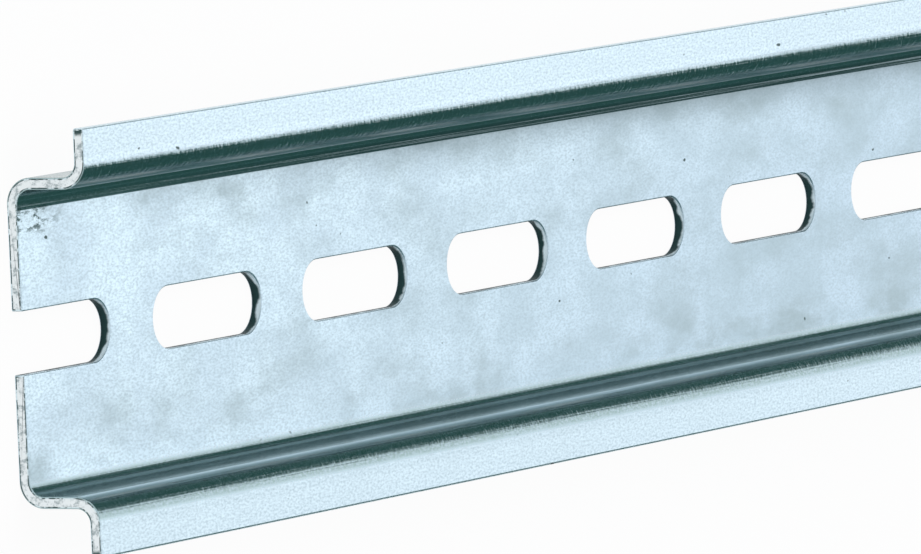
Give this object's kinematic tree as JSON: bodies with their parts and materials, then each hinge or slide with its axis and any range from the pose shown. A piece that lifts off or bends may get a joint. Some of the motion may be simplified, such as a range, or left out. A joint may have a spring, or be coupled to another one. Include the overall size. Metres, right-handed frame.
{
  "type": "slotted mounting rail",
  "caption": "Slotted steel top-hat mounting rail, roll-formed from a single strip, screwed into a rack or enclosure so that devices clip onto its outward lips.",
  "frame": {"origin": "middle of the rail's length and width, on the back of the web, which lies on the floor", "axes": "+X along the rail, away from the end that cuts its slot near the middle; +Y across the rail; +Z from the back of the web to the open front of the channel"},
  "size_m": [0.5, 0.035, 0.0075],
  "materials": {
    "zinc_plated_steel": "blue-white zinc plating on cold-rolled strip, dull, cloudy and finely grained"
  },
  "bodies": {
    "root": {"mounting_rail": "zinc_plated_steel"}
  },
  "joints": []
}
